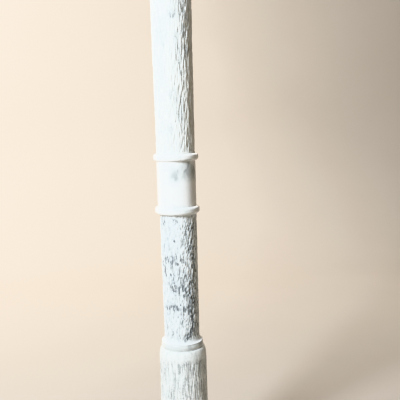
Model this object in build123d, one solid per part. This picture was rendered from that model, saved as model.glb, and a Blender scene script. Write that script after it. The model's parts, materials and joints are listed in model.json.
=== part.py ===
"""Tall column lamp: turned and hand-tooled marble drums stacked on a hollow threaded rod.

Units are millimetres. Z is up, and the origin is the middle of the felt under the base.
Marble pieces are listed from the table upwards and clamped between a nut in the base and
a lock nut above the brass vase cap. The socket, its turn switch, the harp and the finial
sit on the rod's upper end. The cord inlet is at the back (+Y), the switch knob at the
front (-Y), and the harp's wire lies in the XZ plane.
"""

from build123d import *
import math
import os

os.makedirs("parts", exist_ok=True)

# ---------------------------------------------------------------- driving dimensions
ROD_D = 9.7                 # hollow lamp rod, 1/8 IP
ROD_BORE_D = 6.6
THREAD_BORE_D = 9.8         # in whatever is threaded on the rod
STONE_BORE_D = 11.0         # drilled through every marble piece
GASKET_T = 0.5              # fibre gasket between two marble pieces
GASKET_BORE_D = 12.0
GASKET_INSET = 3.0          # a gasket's edge lies this far inside the smaller joint face

FELT_T = 2.0
FELT_D = 152.0

PLINTH_D = 160.0
PLINTH_H = 24.0
PLINTH_CHAMFER = 1.0
PLINTH_ROLL_R = 9.0         # rolled upper edge
PLINTH_STEP = 2.0           # small square step inside the roll
PLINTH_TOP_D = PLINTH_D - 2 * (PLINTH_ROLL_R + PLINTH_STEP)

RISER_FOOT_D = 118.0
RISER_TOP_D = 66.0
RISER_H = 36.0
RISER_BEAD_R = 4.0
RISER_FACE_D = RISER_FOOT_D - 2 * RISER_BEAD_R
RISER_COVE_FOOT_D = 105.0
RISER_NECK_H = 5.0          # upright part above the cove

RING_FLAT_H = 0.6           # upright edge above and below a half-round ring
FOOT_RING_D = 70.0
FOOT_RING_H = 10.5

DRUM_FOOT_D = 62.9
DRUM_HEAD_D = 61.0
DRUM_H = 117.5
DRUM_OFF_X = 1.3            # how far the drum's turned face stands off its own bore
SHOULDER_D = 53.8           # top of the drum, inside its rounded shoulder
SHOULDER_H = 13.0

FLARE_OVER = 7.0            # how much wider than the shaft its flared end is
FLARE_H = 6.0               # height of the flared end
FLARE_EDGE_H = 0.8          # upright edge of the flare, next to the collar
COLLAR_H = 7.0
COLLAR_OVER = 8.2           # how much wider than the shaft the collar is
COLLAR_BULGE = 0.8          # how far the collar's face swells out at its middle
COLLAR_OFF_X = 1.0

LOWER_SHAFT_FOOT_D = 46.0   # just above the flared foot
LOWER_SHAFT_HEAD_D = 47.2
LOWER_SHAFT_H = 166.5
LOWER_SHAFT_OFF_X = 0.9

BAND_D = 49.4
BAND_RING_D = 57.0
BAND_RING_H = 9.2
BAND_RING_CORNER_H = 3.4    # rounded part of a ring's edge, above and below its upright part
BAND_H = 75.8

UPPER_SHAFT_FOOT_D = 48.9
UPPER_SHAFT_HEAD_D = 51.6   # just below the flared head
UPPER_SHAFT_H = 217.7

CAPITAL_D = 66.4
CAPITAL_SHOULDER_D = 59.2
CAPITAL_H = 46.0
ABACUS_D = 74.0
ABACUS_FACE_D = 67.0
ABACUS_H = 10.0

RECESS_D = 46.0             # pocket under the base for the washer, nut and cord
RECESS_DEPTH = 14.0
CORD_HOLE_D = 10.0
CORD_HOLE_Z = 8.5           # above the plinth's underside
CORD_HOLE_OVERLAP = 4.0     # how far the cord hole is drilled on into the pocket
BUSHING_BORE_D = 7.2
BUSHING_FLANGE_D = 15.0
BUSHING_FLANGE_T = 1.6
BUSHING_SEAT_D = 15.4       # spot face that takes the flange
BUSHING_L = 16.0

HEX_NUT_AF = 14.3
BASE_NUT_H = 5.0
BASE_WASHER_D = 38.0
BASE_WASHER_T = 2.0
ROD_BELOW_NUT = 2.0

VASE_CAP_D = 46.0
VASE_CAP_H = 9.0
VASE_CAP_HUB_D = 18.0
VASE_CAP_RIM_H = 1.6
VASE_CAP_BULGE = (0.66, 0.62)   # share of the way out and up to the middle of the dome's arc
NECK_D = 14.0
NECK_BEAD_D = 18.0
NECK_BEAD_H = 5.0
NECK_H = 15.0

SADDLE_T = 1.6
SADDLE_W = 16.0
SADDLE_CORNER_R = 4.0
EAR_W = 3.4
EAR_X = 28.0                # middle of the lapped joint between an ear and the harp
EAR_H = 13.0
LOCK_NUT_H = 4.0

SHELL_D = 34.6
SHELL_T = 0.6
SHELL_H = 52.0
SHELL_BEAD_R = 1.1
SHELL_BEAD_Z = 49.0
CAP_BOSS_D = 15.5
CAP_BOSS_H = 8.0
CAP_FLARE_H = 15.0
CAP_LIP_H = 6.0
CAP_BELLY = (0.72, 0.30)    # share of the way out and up where the cup bulges most
CAP_BELLY_IN = (0.36, 0.48)     # how far in and up from there its inner face bulges
CAP_FLOOR_T = 0.72
ROD_BELOW_BOSS = 1.0        # the rod ends this far below the top of the cap's boss
SOCKET_FIT = 0.1            # radial gap between the socket's nested pieces
SLEEVE_D = SHELL_D - 2 * SHELL_T - 2 * SOCKET_FIT
SLEEVE_T = 0.8
SLEEVE_H = 43.5
SLEEVE_GAP = 0.5            # between the cap's lip and the sleeve

SWITCH_BODY_D = SLEEVE_D - 2 * SLEEVE_T - 2 * SOCKET_FIT
SWITCH_BODY_W = 24.4        # across its two side flats
SWITCH_BODY_H = 19.0
SWITCH_STEM_D = 4.0
SWITCH_STEM_Z = 13.5        # above the foot of the shell
STEM_HOLE_L = 9.0           # how deep the stem's hole runs into the switch body
STEM_HOLE_D = 4.1
STEM_END_GAP = 0.5
STEM_WINDOW_D = 6.4         # hole for the stem in the shell and the sleeve
TERMINAL_HEAD_D = 5.2
TERMINAL_HEAD_T = 1.6
TERMINAL_SLOT_W = 0.8
TERMINAL_SLOT_DEPTH = 0.5
TERMINAL_Y = 2.0
TERMINAL_Z = 11.4           # above the foot of the switch body
SCREW_SHELL_BORE_D = 26.6
SCREW_SHELL_T = 0.5
SCREW_SHELL_H = 21.0
SCREW_FLOOR_T = 0.8
SCREW_FLOOR_BORE_D = 14.0
CONTACT_L = 11.0
CONTACT_W = 5.0
CONTACT_T = 0.5
CONTACT_TIP_D = 4.8
CONTACT_TIP_H = 1.5

KNOB_D = 14.0
KNOB_END_D = 10.8
KNOB_EDGE_R = 1.0
KNOB_L = 13.0
KNOB_FLUTES = 12
KNOB_FLUTE_D = 2.6
KNOB_FLUTE_OUT = 0.5        # how far outside the knob a flute's middle lies
KNOB_SKIRT_L = 2.0          # plain part before the flutes
KNOB_BORE_L = 6.0
KNOB_GAP = 1.2              # between the shell and the knob

HARP_WIRE_D = 3.3
HARP_HALF_WIDTH = 56.0
HARP_H = 229.0              # from the saddle to the underside of the shade seat
HARP_STRAIGHT_H = 40.0      # upright wire above each ear's foot, where a ferrule slides
HARP_SPREAD_H = 34.0        # height over which each side spreads to the full width
HARP_ARCH_R = 50.0
HARP_BEND_R = 16.0
HARP_SHOULDER_R = 30.0
LAP_T = 1.6                 # flattened end of the wire that lies against an ear
LAP_W = 3.0
LAP_H = 12.0
LAP_GAP = 0.03              # between the flattened end and the ear
LAP_FOOT = 1.0
FERRULE_D = 8.6
FERRULE_BORE_D = 5.4
FERRULE_H = 14.5
FERRULE_TOP_D = 6.2
FERRULE_CHAMFER_H = 4.0
SEAT_D = 17.0
SEAT_H = 6.5
STUD_D = 6.3
STUD_H = 13.0

FINIAL_BORE_D = 6.5
FINIAL_BORE_L = 14.0
FINIAL_H = 34.0
FINIAL_SKIRT_R = 6.5
FINIAL_SKIRT_H = 4.0
FINIAL_WAIST_R = 4.6
FINIAL_WAIST_Z = 10.0
FINIAL_HOLLOW_OUT = 0.3     # middle of the hollow above the skirt, outside the waist
FINIAL_HOLLOW_UP = 2.6      # and above the skirt
FINIAL_BALL_R = 8.6
FINIAL_BALL_Z = 19.6
FINIAL_TIP_R = 2.2

FACE_GAP = 0.02             # between faces that seat on each other at a moving joint
TOOL_L = 20.0               # length of a cut that only has to pass right through


# ---------------------------------------------------------------- helpers
def turned(outline):
    """Solid of revolution about Z from a closed outline of edges in the XZ plane."""
    return revolve(make_face(outline), Axis.Z)


def line(*points):
    """Straight run of points given as (radius, height), drawn in the XZ plane."""
    return Polyline([(r, 0, z) for r, z in points])


def arc(start, middle, end):
    """Arc through three (radius, height) points in the XZ plane."""
    return ThreePointArc(*[(r, 0, z) for r, z in (start, middle, end)])


def oval(centre, r_size, z_size, from_deg):
    """Quarter of an ellipse in the XZ plane; 0 degrees points outwards and 90 upwards."""
    return Plane.XZ * EllipticalCenterArc(
        centre, r_size, z_size, start_angle=from_deg, arc_size=90)


def bored(solid, diameter, height):
    """The solid with a through hole on the Z axis."""
    return solid - Pos(0, 0, height / 2) * Cylinder(diameter / 2, height + TOOL_L)


def post(diameter, height):
    """Round bar standing on Z = 0."""
    return Cylinder(diameter / 2, height, align=(Align.CENTER, Align.CENTER, Align.MIN))


def washer(outer_d, inner_d, thickness):
    """Flat ring standing on Z = 0."""
    return bored(post(outer_d, thickness), inner_d, thickness)


def hex_nut(height):
    """Hexagonal nut for the rod, standing on Z = 0."""
    corner_r = HEX_NUT_AF / math.sqrt(3)
    return bored(extrude(RegularPolygon(corner_r, 6), height), THREAD_BORE_D, height)


def turned_over(solid, height):
    """The same piece set upside down."""
    return Pos(0, 0, height) * Rot(180, 0, 0) * solid


def to_back(y, z, solid):
    """Turn a piece that stands on Z = 0 so that it points to the back (+Y) from (0, y, z)."""
    return Pos(0, y, z) * Rot(-90, 0, 0) * solid


def save(name, shape):
    """Write one named node."""
    export_step(shape, f"parts/{name}.step")


# ---------------------------------------------------------------- marble pieces
def plinth():
    """Round base with a rolled upper edge, a pocket below and the cord hole at the back."""
    radius = PLINTH_D / 2
    top_r = PLINTH_TOP_D / 2
    step_r = top_r + PLINTH_STEP
    step_z = PLINTH_H - PLINTH_STEP
    roll_z = step_z - PLINTH_ROLL_R
    outline = line((0, PLINTH_H), (0, 0), (radius - PLINTH_CHAMFER, 0), (radius, PLINTH_CHAMFER),
                   (radius, roll_z))
    outline += oval((step_r, roll_z), PLINTH_ROLL_R, PLINTH_ROLL_R, 0)
    outline += line((step_r, step_z), (top_r, step_z), (top_r, PLINTH_H), (0, PLINTH_H))
    body = turned(outline) - post(RECESS_D, RECESS_DEPTH)
    hole_y = RECESS_D / 2 - CORD_HOLE_OVERLAP
    body -= to_back(hole_y, CORD_HOLE_Z, post(CORD_HOLE_D, radius))
    body -= to_back(bushing_seat_y(), CORD_HOLE_Z, post(BUSHING_SEAT_D, TOOL_L))
    return body


def bushing_seat_y():
    """How far back the flat seat of the cord bushing's flange lies."""
    return math.sqrt((PLINTH_D / 2) ** 2 - (BUSHING_SEAT_D / 2) ** 2) - BUSHING_FLANGE_T


def riser():
    """Spreading foot: a bead at the bottom and a cove that narrows to the foot ring."""
    foot_r = RISER_FOOT_D / 2
    face_r = RISER_FACE_D / 2
    top_r = RISER_TOP_D / 2
    cove_foot_r = RISER_COVE_FOOT_D / 2
    cove_foot_z = 2 * RISER_BEAD_R
    cove_top_z = RISER_H - RISER_NECK_H
    outline = line((0, RISER_H), (0, 0), (face_r, 0))
    outline += arc((face_r, 0), (foot_r, RISER_BEAD_R), (face_r, cove_foot_z))
    outline += line((face_r, cove_foot_z), (cove_foot_r, cove_foot_z))
    outline += oval((cove_foot_r, cove_top_z), cove_foot_r - top_r, cove_top_z - cove_foot_z, 180)
    outline += line((top_r, cove_top_z), (top_r, RISER_H), (0, RISER_H))
    return turned(outline)


def ring_stone(outer_d, height, face_d):
    """Half-round ring with a narrow upright edge above and below."""
    face_r = face_d / 2
    high = height - RING_FLAT_H
    outline = line((0, height), (0, 0), (face_r, 0), (face_r, RING_FLAT_H))
    outline += arc((face_r, RING_FLAT_H), (outer_d / 2, height / 2), (face_r, high))
    outline += line((face_r, high), (face_r, height), (0, height))
    return turned(outline)


def collar(shaft_d):
    """Plain ring with a slightly swelling face, between a flared shaft end and a shoulder."""
    ring_r = (shaft_d + COLLAR_OVER) / 2
    face_r = ring_r - COLLAR_BULGE
    outline = line((0, COLLAR_H), (0, 0), (face_r, 0))
    outline += arc((face_r, 0), (ring_r, COLLAR_H / 2), (face_r, COLLAR_H))
    outline += line((face_r, COLLAR_H), (0, COLLAR_H))
    return turned(outline)


def drum():
    """Bell drum, a little wider at the foot, with a rounded shoulder and a top flat."""
    head_r = DRUM_HEAD_D / 2
    shoulder_r = SHOULDER_D / 2
    shoulder_z = DRUM_H - SHOULDER_H
    outline = line((0, DRUM_H), (0, 0), (DRUM_FOOT_D / 2, 0), (head_r, shoulder_z))
    outline += oval((shoulder_r, shoulder_z), head_r - shoulder_r, SHOULDER_H, 0)
    outline += line((shoulder_r, DRUM_H), (0, DRUM_H))
    return turned(outline)


def shaft(foot_d, head_d, height):
    """Slightly tapered cylinder that spreads in a cove to its flared foot."""
    foot_r = foot_d / 2
    flare_r = foot_r + FLARE_OVER / 2
    outline = line((0, height), (0, 0), (flare_r, 0), (flare_r, FLARE_EDGE_H))
    outline += oval((flare_r, FLARE_H), flare_r - foot_r, FLARE_H - FLARE_EDGE_H, 180)
    outline += line((foot_r, FLARE_H), (head_d / 2, height), (0, height))
    return turned(outline)


def band():
    """Smooth drum with a round-edged ring at each end, turned from one block."""
    body_r = BAND_D / 2
    ring_r = BAND_RING_D / 2
    outline = line((0, BAND_H), (0, 0), (body_r, 0))
    for ring_z in (0, BAND_H - BAND_RING_H):
        low = ring_z + BAND_RING_CORNER_H
        high = ring_z + BAND_RING_H - BAND_RING_CORNER_H
        outline += oval((body_r, low), ring_r - body_r, BAND_RING_CORNER_H, 270)
        outline += line((ring_r, low), (ring_r, high))
        outline += oval((body_r, high), ring_r - body_r, BAND_RING_CORNER_H, 0)
    outline += line((body_r, BAND_RING_H), (body_r, BAND_H - BAND_RING_H))
    outline += line((body_r, BAND_H), (0, BAND_H))
    return turned(outline)


def capital():
    """Like the drum turned over: rounded shoulder below, straight sides above."""
    head_r = CAPITAL_D / 2
    shoulder_r = CAPITAL_SHOULDER_D / 2
    outline = line((0, CAPITAL_H), (0, 0), (shoulder_r, 0))
    outline += oval((shoulder_r, SHOULDER_H), head_r - shoulder_r, SHOULDER_H, 270)
    outline += line((head_r, SHOULDER_H), (head_r, CAPITAL_H), (0, CAPITAL_H))
    return turned(outline)


# Each entry: node name, solid without its bore, height, diameters of its lower and upper
# joint faces. Heights add up to where the vase cap stands.
STONES = [
    ("base_plinth", plinth(), PLINTH_H, PLINTH_D, PLINTH_TOP_D),
    ("base_riser", riser(), RISER_H, RISER_FACE_D, RISER_TOP_D),
    ("foot_ring", ring_stone(FOOT_RING_D, FOOT_RING_H, DRUM_FOOT_D), FOOT_RING_H,
     DRUM_FOOT_D, DRUM_FOOT_D),
    ("bell_drum", drum(), DRUM_H, DRUM_FOOT_D, SHOULDER_D),
    ("drum_collar", collar(LOWER_SHAFT_FOOT_D), COLLAR_H, SHOULDER_D, LOWER_SHAFT_FOOT_D),
    ("lower_shaft", shaft(LOWER_SHAFT_FOOT_D, LOWER_SHAFT_HEAD_D, LOWER_SHAFT_H),
     LOWER_SHAFT_H, LOWER_SHAFT_FOOT_D, LOWER_SHAFT_HEAD_D),
    ("middle_band", band(), BAND_H, BAND_D, BAND_D),
    ("upper_shaft", turned_over(shaft(UPPER_SHAFT_HEAD_D, UPPER_SHAFT_FOOT_D, UPPER_SHAFT_H),
                                UPPER_SHAFT_H),
     UPPER_SHAFT_H, UPPER_SHAFT_FOOT_D, UPPER_SHAFT_HEAD_D),
    ("top_collar", collar(UPPER_SHAFT_HEAD_D), COLLAR_H, UPPER_SHAFT_HEAD_D,
     CAPITAL_SHOULDER_D),
    ("capital", capital(), CAPITAL_H, CAPITAL_SHOULDER_D, CAPITAL_D),
    ("abacus", ring_stone(ABACUS_D, ABACUS_H, ABACUS_FACE_D), ABACUS_H, ABACUS_FACE_D,
     ABACUS_FACE_D),
]

# Stones whose outside stands to the right (+X) of their bore; the others are true.
OFF_X = {
    "bell_drum": DRUM_OFF_X,
    "drum_collar": COLLAR_OFF_X,
    "lower_shaft": LOWER_SHAFT_OFF_X,
}


def stack_stones():
    """Write the marble pieces and the gaskets between them; return the top height."""
    z = FELT_T
    below = None
    for name, solid, height, lower_face_d, upper_face_d in STONES:
        if below is not None:
            below_name, below_face_d = below
            gasket_d = min(below_face_d, lower_face_d) - 2 * GASKET_INSET
            save(f"gasket_above_{below_name}",
                 Pos(0, 0, z) * washer(gasket_d, GASKET_BORE_D, GASKET_T))
            z += GASKET_T
        stone = bored(Pos(OFF_X.get(name, 0), 0, 0) * solid, STONE_BORE_D, height)
        save(name, Pos(0, 0, z) * stone)
        z += height
        below = (name, upper_face_d)
    return z


# ---------------------------------------------------------------- rod, base hardware
def base_hardware(rod_top):
    """Felt, washer and nut under the base, the cord bushing, and the rod itself."""
    save("base_felt", post(FELT_D, FELT_T))
    washer_z = FELT_T + RECESS_DEPTH - BASE_WASHER_T
    nut_z = washer_z - BASE_NUT_H
    rod_foot = nut_z - ROD_BELOW_NUT
    save("base_washer", Pos(0, 0, washer_z) * washer(BASE_WASHER_D, THREAD_BORE_D, BASE_WASHER_T))
    save("base_nut", Pos(0, 0, nut_z) * hex_nut(BASE_NUT_H))
    save("threaded_rod", Pos(0, 0, rod_foot) * washer(ROD_D, ROD_BORE_D, rod_top - rod_foot))
    flange = washer(BUSHING_FLANGE_D, BUSHING_BORE_D, BUSHING_FLANGE_T)
    barrel = washer(CORD_HOLE_D, BUSHING_BORE_D, BUSHING_L)
    bushing = flange + Pos(0, 0, BUSHING_FLANGE_T - BUSHING_L) * barrel
    save("cord_bushing", to_back(bushing_seat_y(), FELT_T + CORD_HOLE_Z, bushing))


# ---------------------------------------------------------------- brass top
def vase_cap():
    """Shallow brass dome with a flat hub."""
    rim_r = VASE_CAP_D / 2
    hub_r = VASE_CAP_HUB_D / 2
    middle = (hub_r + VASE_CAP_BULGE[0] * (rim_r - hub_r),
              VASE_CAP_RIM_H + VASE_CAP_BULGE[1] * (VASE_CAP_H - VASE_CAP_RIM_H))
    outline = line((0, VASE_CAP_H), (0, 0), (rim_r, 0), (rim_r, VASE_CAP_RIM_H))
    outline += arc((rim_r, VASE_CAP_RIM_H), middle, (hub_r, VASE_CAP_H))
    outline += line((hub_r, VASE_CAP_H), (0, VASE_CAP_H))
    return bored(turned(outline), THREAD_BORE_D, VASE_CAP_H)


def neck():
    """Spacer tube with a bead round its middle."""
    tube_r = NECK_D / 2
    low = (NECK_H - NECK_BEAD_H) / 2
    high = low + NECK_BEAD_H
    outline = line((0, NECK_H), (0, 0), (tube_r, 0), (tube_r, low))
    outline += arc((tube_r, low), (NECK_BEAD_D / 2, NECK_H / 2), (tube_r, high))
    outline += line((tube_r, high), (tube_r, NECK_H), (0, NECK_H))
    return bored(turned(outline), THREAD_BORE_D, NECK_H)


def saddle():
    """Steel strip under the socket whose turned-up ears carry the harp."""
    strip = extrude(RectangleRounded(2 * EAR_X, SADDLE_W, SADDLE_CORNER_R), SADDLE_T)
    strip = bored(strip, THREAD_BORE_D, SADDLE_T)
    ear = Box(SADDLE_T, EAR_W, EAR_H + SADDLE_T, align=(Align.MAX, Align.CENTER, Align.MIN))
    right = Pos(EAR_X, 0, 0) * ear
    return strip + right + mirror(right, Plane.YZ)


def socket_cap():
    """Spun brass cup on a threaded boss; its lip takes the shell."""
    boss_r = CAP_BOSS_D / 2
    bore_r = THREAD_BORE_D / 2
    lip_r = SHELL_D / 2 - SHELL_T - SOCKET_FIT
    inner_r = lip_r - SHELL_T
    flare_top = CAP_BOSS_H + CAP_FLARE_H
    lip_top = flare_top + CAP_LIP_H
    floor_z = CAP_BOSS_H + CAP_FLOOR_T
    belly_r = boss_r + CAP_BELLY[0] * (lip_r - boss_r)
    belly_z = CAP_BOSS_H + CAP_BELLY[1] * CAP_FLARE_H
    outline = line((bore_r, CAP_BOSS_H), (bore_r, 0), (boss_r, 0), (boss_r, CAP_BOSS_H))
    outline += arc((boss_r, CAP_BOSS_H), (belly_r, belly_z), (lip_r, flare_top))
    outline += line((lip_r, flare_top), (lip_r, lip_top), (inner_r, lip_top),
                    (inner_r, flare_top))
    outline += arc((inner_r, flare_top), (belly_r - CAP_BELLY_IN[0], belly_z + CAP_BELLY_IN[1]),
                   (boss_r, floor_z))
    outline += line((boss_r, floor_z), (bore_r, CAP_BOSS_H))
    return turned(outline)


def to_front(diameter, start, end, z):
    """Round bar at height z that runs towards the front (-Y) between two distances."""
    return Pos(0, -start, z) * Rot(90, 0, 0) * post(diameter, end - start)


def socket_shell():
    """Thin brass tube with a rolled bead near its mouth."""
    bead = Pos(0, 0, SHELL_BEAD_Z) * Torus(SHELL_D / 2, SHELL_BEAD_R)
    bead = bored(bead, SHELL_D - SHELL_T, SHELL_H)
    return washer(SHELL_D, SHELL_D - 2 * SHELL_T, SHELL_H) + bead


def switch_body():
    """Round switch block with a flat on each side."""
    return post(SWITCH_BODY_D, SWITCH_BODY_H) & Box(
        SWITCH_BODY_W, SWITCH_BODY_D, 2 * SWITCH_BODY_H)


def terminal_screw():
    """Slotted round head that faces +X, with its seat on X = 0."""
    slot = Pos(0, 0, TERMINAL_HEAD_T) * Box(
        TERMINAL_SLOT_W, 2 * TERMINAL_HEAD_D, 2 * TERMINAL_SLOT_DEPTH)
    return Rot(0, 90, 0) * (post(TERMINAL_HEAD_D, TERMINAL_HEAD_T) - slot)


def screw_shell():
    """Metal cup that the bulb screws into, open in the middle of its floor."""
    outer_d = SCREW_SHELL_BORE_D + 2 * SCREW_SHELL_T
    tube = washer(outer_d, SCREW_SHELL_BORE_D, SCREW_SHELL_H)
    return tube + washer(outer_d, SCREW_FLOOR_BORE_D, SCREW_FLOOR_T)


def centre_contact():
    """Flat strip with a raised round tip."""
    strip = Box(CONTACT_W, CONTACT_L, CONTACT_T, align=(Align.CENTER, Align.CENTER, Align.MIN))
    return strip + Pos(0, 0, CONTACT_T) * post(CONTACT_TIP_D, CONTACT_TIP_H)


def knob():
    """Fluted knob that tapers outwards, bored blind for the stem; it stands on Z = 0."""
    body = Cone(KNOB_D / 2, KNOB_END_D / 2, KNOB_L, align=(Align.CENTER, Align.CENTER, Align.MIN))
    rims = body.edges().filter_by(GeomType.CIRCLE).group_by(Axis.Z)
    body = fillet(rims[-1], KNOB_EDGE_R)
    flute = Pos(KNOB_D / 2 + KNOB_FLUTE_OUT, 0, KNOB_SKIRT_L) * post(KNOB_FLUTE_D, KNOB_L)
    for i in range(KNOB_FLUTES):
        body -= Rot(0, 0, i * 360 / KNOB_FLUTES) * flute
    return body - post(SWITCH_STEM_D, KNOB_BORE_L)


def socket_pieces(cap_z):
    """Write the socket from its cap to its screw shell, and the turn switch."""
    shell_z = cap_z + CAP_BOSS_H + CAP_FLARE_H + FACE_GAP
    stem_z = shell_z + SWITCH_STEM_Z
    body_z = shell_z + CAP_LIP_H + SLEEVE_GAP
    screw_shell_z = body_z + SWITCH_BODY_H
    stem_from = SWITCH_BODY_D / 2 - STEM_HOLE_L
    knob_from = SHELL_D / 2 + KNOB_GAP
    window = to_front(STEM_WINDOW_D, 0, knob_from, stem_z)
    stem_hole = to_front(STEM_HOLE_D, stem_from, knob_from, stem_z)
    sleeve = washer(SLEEVE_D, SLEEVE_D - 2 * SLEEVE_T, SLEEVE_H)
    right_screw = Pos(SWITCH_BODY_W / 2, TERMINAL_Y, body_z + TERMINAL_Z) * terminal_screw()

    save("socket_cap", Pos(0, 0, cap_z) * socket_cap())
    save("socket_shell", Pos(0, 0, shell_z) * socket_shell() - window)
    save("insulating_sleeve", Pos(0, 0, body_z) * sleeve - window)
    save("switch_body", Pos(0, 0, body_z) * switch_body() - stem_hole)
    save("terminal_screws", Compound(children=[right_screw, mirror(right_screw, Plane.YZ)]))
    save("screw_shell", Pos(0, 0, screw_shell_z) * screw_shell())
    save("centre_contact", Pos(0, 0, screw_shell_z) * centre_contact())
    save("switch_stem", to_front(SWITCH_STEM_D, stem_from + STEM_END_GAP,
                                 knob_from + KNOB_BORE_L, stem_z))
    save("switch_knob", Pos(0, -knob_from, stem_z) * Rot(90, 0, 0) * knob())


# ---------------------------------------------------------------- harp and finial
def harp_route(ear_foot, top_z):
    """Half of the harp's centre line, from an ear up to the middle of the shade seat."""
    bend_z = ear_foot + HARP_STRAIGHT_H
    points = [
        (EAR_X, 0, ear_foot + EAR_H + FACE_GAP),
        (EAR_X, 0, bend_z),
        (HARP_HALF_WIDTH, 0, bend_z + HARP_SPREAD_H),
        (HARP_HALF_WIDTH, 0, top_z),
        (0, 0, top_z),
    ]
    return FilletPolyline(*points, radius=[HARP_BEND_R, HARP_SHOULDER_R, HARP_ARCH_R])


def harp_wire(ear_foot, top_z):
    """Both sides of the harp, each with a flattened end that lies against its ear."""
    route = harp_route(ear_foot, top_z)
    section = Plane(origin=route @ 0, z_dir=route % 0) * Circle(HARP_WIRE_D / 2)
    lap = Box(LAP_T, LAP_W, LAP_H, align=(Align.MIN, Align.CENTER, Align.MIN))
    side = sweep(section, path=route)
    side += Pos(EAR_X + LAP_GAP, 0, ear_foot + LAP_FOOT + FACE_GAP) * lap
    return side + mirror(side, Plane.YZ)


def ferrule():
    """Sliding sleeve that locks the harp to an ear, chamfered at its upper end."""
    sleeve_r = FERRULE_D / 2
    bore_r = FERRULE_BORE_D / 2
    outline = line((bore_r, 0), (sleeve_r, 0), (sleeve_r, FERRULE_H - FERRULE_CHAMFER_H),
                   (FERRULE_TOP_D / 2, FERRULE_H), (bore_r, FERRULE_H), (bore_r, 0))
    return turned(outline)


def finial():
    """Turned brass finial: skirt, waist and ball with a small tip, tapped from below."""
    join_z = FINIAL_BALL_Z - math.sqrt(FINIAL_BALL_R ** 2 - FINIAL_WAIST_R ** 2)
    tip_join_z = FINIAL_BALL_Z + math.sqrt(FINIAL_BALL_R ** 2 - FINIAL_TIP_R ** 2)
    tip_z = FINIAL_H - FINIAL_TIP_R
    diagonal = FINIAL_TIP_R * math.sqrt(0.5)
    hollow = (FINIAL_WAIST_R + FINIAL_HOLLOW_OUT, FINIAL_SKIRT_H + FINIAL_HOLLOW_UP)
    outline = line((0, FINIAL_H), (0, 0), (FINIAL_SKIRT_R, 0), (FINIAL_SKIRT_R, FINIAL_SKIRT_H))
    outline += arc((FINIAL_SKIRT_R, FINIAL_SKIRT_H), hollow, (FINIAL_WAIST_R, FINIAL_WAIST_Z))
    outline += line((FINIAL_WAIST_R, FINIAL_WAIST_Z), (FINIAL_WAIST_R, join_z))
    outline += arc((FINIAL_WAIST_R, join_z), (FINIAL_BALL_R, FINIAL_BALL_Z),
                   (FINIAL_TIP_R, tip_join_z))
    outline += line((FINIAL_TIP_R, tip_join_z), (FINIAL_TIP_R, tip_z))
    outline += arc((FINIAL_TIP_R, tip_z), (diagonal, tip_z + diagonal), (0, FINIAL_H))
    return turned(outline) - post(FINIAL_BORE_D, FINIAL_BORE_L)


def harp_pieces(saddle_z):
    """Write the harp, its two ferrules, the shade seat with its stud, and the finial."""
    ear_foot = saddle_z + SADDLE_T
    seat_foot = ear_foot + HARP_H - SEAT_H
    seat_top = seat_foot + SEAT_H
    wire = harp_wire(ear_foot, seat_foot + SEAT_H / 2)
    seat = Pos(0, 0, seat_foot) * post(SEAT_D, SEAT_H) - wire
    save("harp_wire", wire)
    save("harp_ferrule_right", Pos(EAR_X, 0, ear_foot + FACE_GAP) * ferrule())
    save("harp_ferrule_left", Pos(-EAR_X, 0, ear_foot + FACE_GAP) * ferrule())
    save("shade_seat_stud", seat + Pos(0, 0, seat_top) * post(STUD_D, STUD_H))
    save("finial", Pos(0, 0, seat_top + FACE_GAP) * finial())


# ---------------------------------------------------------------- the whole lamp
def build():
    cap_foot = stack_stones()
    neck_foot = cap_foot + VASE_CAP_H
    saddle_z = neck_foot + NECK_H
    nut_z = saddle_z + SADDLE_T
    socket_z = nut_z + LOCK_NUT_H
    rod_top = socket_z + CAP_BOSS_H - ROD_BELOW_BOSS
    base_hardware(rod_top)
    save("vase_cap", Pos(0, 0, cap_foot) * vase_cap())
    save("neck_spacer", Pos(0, 0, neck_foot) * neck())
    save("harp_saddle", Pos(0, 0, saddle_z) * saddle())
    save("lock_nut", Pos(0, 0, nut_z) * hex_nut(LOCK_NUT_H))
    socket_pieces(socket_z)
    harp_pieces(saddle_z)


build()
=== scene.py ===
"""Looks of the stacked marble column lamp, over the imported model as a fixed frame.

The marble pieces are rebuilt as fine meshes: a lathe profile, then chisel strokes cut into
it, then veins stored on its points. The turned brass pieces are rebuilt with their beads,
knurls and threads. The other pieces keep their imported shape. Every piece gets a node
material. Blender lengths are in metres; profiles and marks on the stone are in millimetres.
"""

import bmesh
import bpy
import json
import math
import numpy as np
from mathutils import Matrix, Vector

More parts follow.
